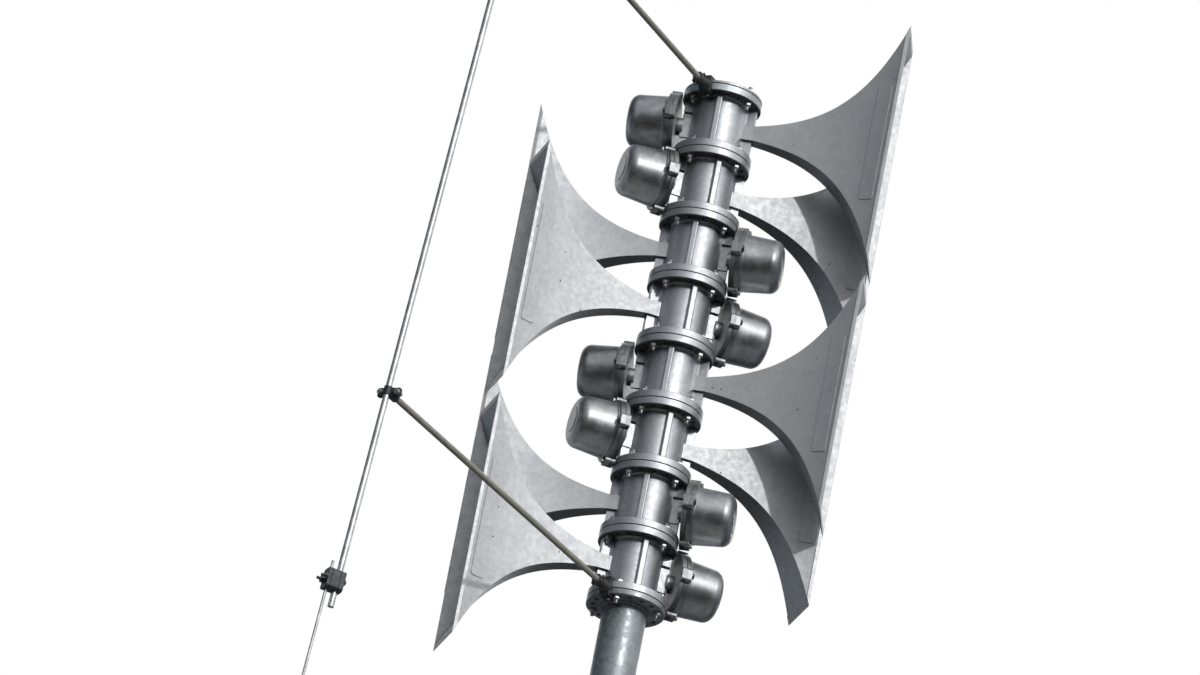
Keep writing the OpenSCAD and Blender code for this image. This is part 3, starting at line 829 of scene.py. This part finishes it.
@dataclass
class Lightning:
    """Small hardware of the lightning rod: bracket, clamp, connector and holder screws."""

    column: Column
    lower_turn: float = -128.0
    upper_turn: float = -123.5
    reach: float = 1205 * MM
    lower_z: float = 2800 * MM
    upper_z: float = 4230 * MM
    jaw_r: float = 88 * MM
    jaw_t: float = 8 * MM
    socket_r: float = 144 * MM
    socket_half: float = 14.2 * MM
    socket_tilt: float = 30.0
    ear_y: float = 25 * MM
    ear_x: float = 5.7 * MM
    connector_along: float = -524 * MM
    connector_turn: float = -163.0
    connector_y: float = 14 * MM
    connector_x: float = 13 * MM
    holder_turn: float = -135.0
    holder_r: float = 70 * MM
    holder_half: float = 8 * MM
    holder_heights: tuple = (909 * MM, 559 * MM, 209 * MM)
    bright: Optional[bpy.types.Material] = None
    dark: Optional[bpy.types.Material] = None
    ends: tuple = field(init=False)

    def __post_init__(self) -> None:
        """Works out where the two bars meet the rod."""
        self.ends = (heading(self.lower_turn) * self.reach + UP * self.lower_z,
                     heading(self.upper_turn) * self.reach + UP * self.upper_z)

    def on_rod(self, along: float, turn: float) -> Matrix:
        """Place on the rod, with Z along it and X turned to a direction.

        Args:
            along: distance up the rod from the lower bar.
            turn: direction of X before the rod's lean, in degrees.

        Returns:
            The placement.
        """
        rod = self.ends[1] - self.ends[0]
        lean_turn = math.atan2(rod.y, rod.x)
        lean = math.acos(rod.z / rod.length)
        return (Matrix.Translation(self.ends[0]) @ Matrix.Rotation(lean_turn, 4, "Z")
                @ Matrix.Rotation(lean, 4, "Y") @ Matrix.Translation((0, 0, along))
                @ Matrix.Rotation(-lean_turn + math.radians(turn), 4, "Z"))

    def bracket_screws(self, turn: float, z: float, low: float, high: float, name: str) -> None:
        """Makes the screws of one flange bracket: one in each jaw and two in the collar of the socket.

        Args:
            turn: direction of the bar.
            z: height of the bar.
            low: underside of the gripped flanges.
            high: upper side of the gripped flanges.
            name: name of the piece.
        """
        out = heading(turn)
        side = across(out)
        jaw = Bolt(thread_d=8 * MM, flats=13 * MM, head_h=5.3 * MM, washer_d=16 * MM, washer_t=1.4 * MM,
                   grip=7.5 * MM, nut=False, tail=0.4 * MM, threads=1).build()
        collar = Bolt(thread_d=6 * MM, flats=10 * MM, head_h=4.2 * MM, washer_d=10.5 * MM, washer_t=0.8 * MM,
                      grip=5.8 * MM, nut=False, tail=0.2 * MM, threads=1).build()
        pieces = [Bench.copy(jaw, axes(side, UP, out * self.jaw_r + UP * (high + self.jaw_t)), "screw"),
                  Bench.copy(jaw, axes(side, -UP, out * self.jaw_r + UP * (low - self.jaw_t)), "screw")]
        tilt = math.radians(self.socket_tilt)
        slant = side * math.cos(tilt) + UP * math.sin(tilt)
        socket = out * self.socket_r + UP * z
        for arm in (-slant, slant):
            pieces.append(Bench.copy(collar, axes(out, arm, socket + arm * self.socket_half), "screw"))
        Bench.discard(jaw)
        Bench.discard(collar)
        place_piece(Bench.join(pieces, name), self.dark)

    def clamp_screws(self) -> None:
        """Makes the screws through both ears of each rod clamp, with nuts at the back."""
        model = Bolt(thread_d=8 * MM, flats=13 * MM, head_h=5.3 * MM, washer_d=16 * MM, washer_t=1.4 * MM,
                     nut_h=6.5 * MM, grip=7.5 * MM, tail=4 * MM).build()
        rod_l = (self.ends[1] - self.ends[0]).length
        for name, turn, along in (("lower_clamp_screws", self.lower_turn, 0.0),
                                  ("upper_clamp_screws", self.upper_turn, rod_l)):
            place = self.on_rod(along, turn)
            pieces = []
            for y in (-self.ear_y, self.ear_y):
                local = axes(Vector((0, 1, 0)), Vector((1, 0, 0)), Vector((-self.ear_x, y, 0)))
                pieces.append(Bench.copy(model, place @ local, "screw"))
            place_piece(Bench.join(pieces, name), self.bright)
        Bench.discard(model)

    def connector_bolts(self) -> None:
        """Makes two bolts through the three plates of the connector, with domed heads on the rod's side."""
        model = Bolt(thread_d=8 * MM, flats=16 * MM, head_h=4.5 * MM, washer_d=17 * MM, washer_t=1.2 * MM,
                     nut_h=6.5 * MM, grip=45 * MM, tail=9 * MM, threads=6, dome=True).build()
        place = self.on_rod(self.connector_along, self.connector_turn)
        pieces = []
        for y in (-self.connector_y, self.connector_y):
            local = axes(Vector((0, 1, 0)), Vector((-1, 0, 0)), Vector((-self.connector_x, y, 0)))
            pieces.append(Bench.copy(model, place @ local, "bolt"))
        Bench.discard(model)
        place_piece(Bench.join(pieces, "connector_bolts"), self.dark)

    def holder_screws(self) -> None:
        """Makes one screw through each of the three holders of the down conductor."""
        model = Bolt(thread_d=6 * MM, flats=10 * MM, head_h=4 * MM, washer_d=12 * MM, washer_t=1 * MM,
                     nut_h=5 * MM, grip=16 * MM, tail=3 * MM, threads=2).build()
        out = heading(self.holder_turn)
        side = across(out)
        pieces = []
        for z in self.holder_heights:
            at = out * self.holder_r + side * self.holder_half + UP * z
            pieces.append(Bench.copy(model, axes(out, side, at), "screw"))
        Bench.discard(model)
        place_piece(Bench.join(pieces, "holder_screws"), self.bright)

    def build(self) -> None:
        """Makes all the screws of the lightning rod's fittings."""
        column = self.column
        foot, top = column.foot, column.seam(column.modules)
        self.bracket_screws(self.lower_turn, self.lower_z, foot - column.head_t, foot + column.flange_t,
                            "lower_bracket_screws")
        self.bracket_screws(self.upper_turn, self.upper_z, top - column.flange_t, top + column.cap_t,
                            "upper_bracket_screws")
        self.clamp_screws()
        self.connector_bolts()
        self.holder_screws()


@dataclass
class Welds:
    """Rippled weld beads round the standpipe, at the head flange and at the base flange."""

    pipe_r: float = 57.15 * MM
    head_z: float = 2784 * MM
    base_z: float = 20 * MM
    count: int = 72
    drop_r: float = 3.6 * MM
    drop_out: float = 2.6 * MM
    drop_off: float = 2.4 * MM
    drop_lean: float = 24.0
    finish: Optional[bpy.types.Material] = None

    def ripple(self) -> bpy.types.Object:
        """Models one drop of the bead from a sphere.

        Returns:
            The drop, to be copied.
        """
        Bench.clear()
        bpy.ops.mesh.primitive_uv_sphere_add(segments=10, ring_count=6, radius=self.drop_r,
                                             location=(0, 0, 0))
        bpy.ops.object.mode_set(mode="EDIT")
        bpy.ops.mesh.select_all(action="SELECT")
        bpy.ops.transform.resize(value=(1.0, 1.05, 1.0), center_override=(0, 0, 0))
        return Bench.settle("ripple_model")

    def build(self) -> None:
        """Sets the drops in a ring, each leaning on the one before."""
        model = self.ripple()
        for name, z, away in (("head_weld", self.head_z, -1), ("base_weld", self.base_z, 1)):
            pieces = []
            for i in range(self.count):
                turn = 360.0 * i / self.count
                at = heading(turn) * (self.pipe_r + self.drop_out) + UP * (z + away * self.drop_off)
                round_pipe = Matrix.Rotation(math.radians(turn), 4, "Z")
                lean = Matrix.Rotation(math.radians(self.drop_lean * away), 4, "X")
                pieces.append(Bench.copy(model, Matrix.Translation(at) @ round_pipe @ lean, "drop"))
            place_piece(Bench.join(pieces, name, smooth=60.0), self.finish)
        Bench.discard(model)


@dataclass(frozen=True)
class Patch:
    """Part of the sky whose strength grows towards one direction; rim and full are cosines of the angle."""

    way: Vector
    rim: float
    full: float
    strength: float = 1.0
    dim: float = 0.0


class Sky(Nodes):
    """Builds the world's strength and colour from the direction of a ray."""

    def __init__(self) -> None:
        """Makes the world and puts it in the scene."""
        world = bpy.data.worlds.new("studio")
        bpy.context.scene.world = world
        world.use_nodes = True
        super().__init__(world.node_tree)
        self.ray = self.node("ShaderNodeTexCoord").outputs["Generated"]

    def along(self, way: Vector) -> Socket:
        """How far a ray points along a direction."""
        part = self.node("ShaderNodeVectorMath", {0: self.ray, 1: way}, operation="DOT_PRODUCT")
        return part.outputs["Value"]

    def light(self, patch: Patch) -> Socket:
        """Strength of one bright part in each direction."""
        return self.ramp(self.along(patch.way), patch.rim, patch.full, patch.dim, patch.strength)

    def paint(self, room: Socket, behind: Socket, cool: tuple) -> None:
        """Shows the room to the object, and white to the camera and to gloss that sees the background.

        Args:
            room: strength of the room in each direction.
            behind: share of white for glossy rays, 1 at the background.
            cool: tint of the room where it is dim.
        """
        path = self.node("ShaderNodeLightPath").outputs
        white = self.maths("MULTIPLY", path["Is Glossy Ray"], behind)
        for kind in ("Is Transmission Ray", "Is Camera Ray"):
            white = self.maths("MAXIMUM", white, path[kind])
        seen = self.node("ShaderNodeMix", {0: white, 2: room, 3: 1.0}, data_type="FLOAT").outputs[0]
        tint = self.blend(self.ramp(seen, 0.05, 0.75), cool, (1.0, 1.0, 1.0))
        background = self.tree.nodes["Background"].inputs
        self.tree.links.new(seen, background["Strength"])
        self.tree.links.new(tint, background["Color"])


@dataclass
class Studio:
    """Camera at the photograph's angle, pale floor, soft light and a white background.

    Angles are in degrees, distances in metres, and the focal length counts in pixels of the picture.
    """

    yaw: float = -0.3391
    pitch: float = 25.0213
    roll: float = 11.0247
    distance: float = 32.6974
    height: float = -14.5452
    focal: float = 14199.1
    turn: float = -3.95
    aim_z: float = 2.8
    sensor: float = 36.0
    picture_w: float = 1200.0
    clip_end: float = 200.0
    floor_r: float = 2.6
    floor_rim: tuple = ((-20 * MM, -30 * MM), (0.0, -20 * MM), (0.0, -10 * MM), (-10 * MM, -0.4 * MM))
    floor_tints: tuple = ((0.80, 0.80, 0.80), (0.84, 0.84, 0.84))
    floor_bounce: tuple = (0.30, 0.30, 0.30)
    key_tilt: tuple = (69, 0, 22)
    key_energy: float = 0.78
    key_width: float = 2.0
    back_tilt: tuple = (64, 0, 172)
    back_energy: float = 0.50
    back_width: float = 40.0
    fill: Patch = Patch(heading(-40.0), -0.7, 0.9, strength=0.92, dim=0.06)
    glow: Patch = Patch(Vector((0.526, -0.774, 0.352)), 0.50, 0.97, strength=1.12)
    rear: Patch = Patch(heading(75.0), 0.10, 0.95, strength=0.70)
    haze: Patch = Patch(heading(90.0), -0.45, 0.25, strength=0.24)
    above: Patch = Patch(UP, -0.05, 0.46, dim=0.03)
    band_low: Patch = Patch(UP, -0.46, -0.14)
    band_high: Patch = Patch(-UP, -0.35, -0.05)
    behind: Patch = Patch(Vector((0.0, 0.9, 0.43)), 0.80, 0.97)
    behind_low: Patch = Patch(UP, 0.05, 0.40)
    cool: tuple = (0.76, 0.88, 1.0)

    def camera(self) -> None:
        """Sets the long lens far away and low, looking up."""
        yaw, pitch, roll = (math.radians(angle) for angle in (self.yaw, self.pitch, self.roll))
        ahead = Vector((math.sin(yaw) * math.cos(pitch), math.cos(yaw) * math.cos(pitch), math.sin(pitch)))
        right = Vector((math.cos(yaw), -math.sin(yaw), 0.0))
        up = right.cross(ahead)
        picture_x = math.cos(roll) * right + math.sin(roll) * up
        picture_y = -math.sin(roll) * right + math.cos(roll) * up
        spin = Matrix.Rotation(math.radians(self.turn), 3, "Z")
        place = Matrix((spin @ picture_x, spin @ picture_y, spin @ -ahead)).transposed().to_4x4()
        place.translation = spin @ Vector((0.0, -self.distance, self.height)) + UP * self.aim_z
        lens = bpy.data.cameras.new("camera")
        lens.sensor_width = self.sensor
        lens.lens = self.focal * self.sensor / self.picture_w
        lens.clip_end = self.clip_end
        camera = bpy.data.objects.new("camera", lens)
        bpy.context.scene.collection.objects.link(camera)
        camera.matrix_world = place
        bpy.context.scene.camera = camera

    def floor(self) -> None:
        """Makes the pale round floor, with a rounded rim."""
        disc = Bench.lathe("floor", [(self.floor_r + out, z) for out, z in self.floor_rim], sides=96)
        g = Graph("floor_paint")
        skin = g.blend(g.noise(3.0), *self.floor_tints)
        seen = g.node("ShaderNodeLightPath").outputs["Is Camera Ray"]
        skin = g.blend(seen, self.floor_bounce, skin)
        disc.data.materials.append(g.finish(skin, 0.85, 0.0))

    def lamp(self, name: str, tilt: tuple, energy: float, angle: float) -> None:
        """Adds one sun lamp.

        Args:
            name: name of the lamp.
            tilt: turn of the lamp in degrees.
            energy: strength.
            angle: width of the lamp in degrees.
        """
        light = bpy.data.lights.new(name, "SUN")
        light.energy = energy
        light.angle = math.radians(angle)
        lamp = bpy.data.objects.new(name, light)
        lamp.rotation_euler = tuple(math.radians(t) for t in tilt)
        bpy.context.scene.collection.objects.link(lamp)

    def world(self) -> None:
        """White for the camera; for light and reflections a soft room, brightest at the front right."""
        sky = Sky()
        rise = sky.light(self.above)
        band = sky.maths("MULTIPLY", sky.light(self.band_low), sky.light(self.band_high))
        room = sky.maths("MULTIPLY", sky.light(self.fill), rise)
        for patch, share in ((self.glow, rise), (self.rear, rise), (self.haze, band)):
            room = sky.maths("MAXIMUM", room, sky.maths("MULTIPLY", sky.light(patch), share))
        behind = sky.maths("MULTIPLY", sky.light(self.behind), sky.light(self.behind_low))
        sky.paint(room, behind, self.cool)

    def build(self) -> None:
        """Sets up everything round the object."""
        self.camera()
        self.floor()
        self.lamp("key", self.key_tilt, self.key_energy, self.key_width)
        self.lamp("back", self.back_tilt, self.back_energy, self.back_width)
        self.world()
        bpy.context.scene.view_settings.view_transform = "Standard"


def dress_nodes(finishes: dict) -> None:
    """Gives every CAD node the material of its finish.

    Args:
        finishes: start of a node's name, to its material.
    """
    for name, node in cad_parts.items():
        key = max((k for k in finishes if name.startswith(k)), key=len)
        for slot in node.material_slots:
            slot.material = finishes[key]
        log.info("node %s: %s", name, finishes[key].name)


def main() -> None:
    """Builds the studio, the finishes and the fittings in order."""
    logging.basicConfig(level=logging.INFO, format="%(message)s")
    Studio().build()
    horn = CastFinish("sand_cast_horn", light=(0.68, 0.69, 0.70), dark=(0.59, 0.60, 0.62), metallic=0.93,
                      rough=0.54, grain_depth=0.20 * MM, pits=0.07, underside_shade=0.62).build()
    module = CastFinish("cast_barrel", light=(0.74, 0.76, 0.78), dark=(0.60, 0.62, 0.65), metallic=1.0,
                        rough=0.50, grain_depth=0.15 * MM, pits=0.015, underside_shade=0.85,
                        rim_from=102.5 * MM).build()
    zinc = GalvanisedFinish().build()
    clamp = PlainMetalFinish("dark_cast_clamp", tint=(0.10, 0.105, 0.11), rough=0.50, metallic=0.6,
                             edge_wear_highlight=0.25).build()
    bright = PlainMetalFinish("drawn_aluminium_rod", tint=(0.90, 0.91, 0.92), rough=0.40, metallic=0.85,
                              edge_wear_highlight=0.0, along=(1.0, 1.0, 0.03)).build()
    steel = PlainMetalFinish("stainless_fastener", tint=(0.76, 0.77, 0.78), rough=0.32, metallic=0.90,
                             edge_wear_highlight=0.45).build()
    dull = PlainMetalFinish("driver_fastener", tint=(0.30, 0.305, 0.31), rough=0.34, metallic=0.90,
                            edge_wear_highlight=0.25).build()
    dark_steel = PlainMetalFinish("dark_fastener", tint=(0.22, 0.22, 0.23), rough=0.35, metallic=0.85,
                                  edge_wear_highlight=0.3).build()
    # Near-black finish of the ring in each joint's groove: painted shade.
    groove_shade = PlainMetalFinish("painted_groove_shade", tint=(0.03, 0.03, 0.03), rough=0.7, metallic=0.0,
                            edge_wear_highlight=0.0).build()
    fibre = FibreFinish().build()
    column = Column(finish=steel, shade_line_finish=groove_shade)
    drivers = Drivers(column, finish=dull)
    shells = {f"driver_{k}": DrawnFinish(f"drawn_shell_{k}", drivers.turn(k)).build()
              for k in range(1, column.modules + 1)}
    groups = ((horn, ("horn",)), (module, ("module", "cap_plate")),
              (zinc, ("standpipe", "base_flange", "head_flange")), (fibre, ("lower_bar", "upper_bar")),
              (clamp, ("lower_bracket", "upper_bracket", "lower_rod_clamp", "upper_rod_clamp",
                       "connector_clamp", "conductor_holders")),
              (bright, ("lightning_rod", "down_conductor")))
    dress_nodes({**{start: finish for finish, starts in groups for start in starts}, **shells})
    column.build()
    drivers.build()
    Lightning(column, bright=steel, dark=dark_steel).build()
    Welds(finish=zinc).build()


if __name__ == "__main__":
    main()
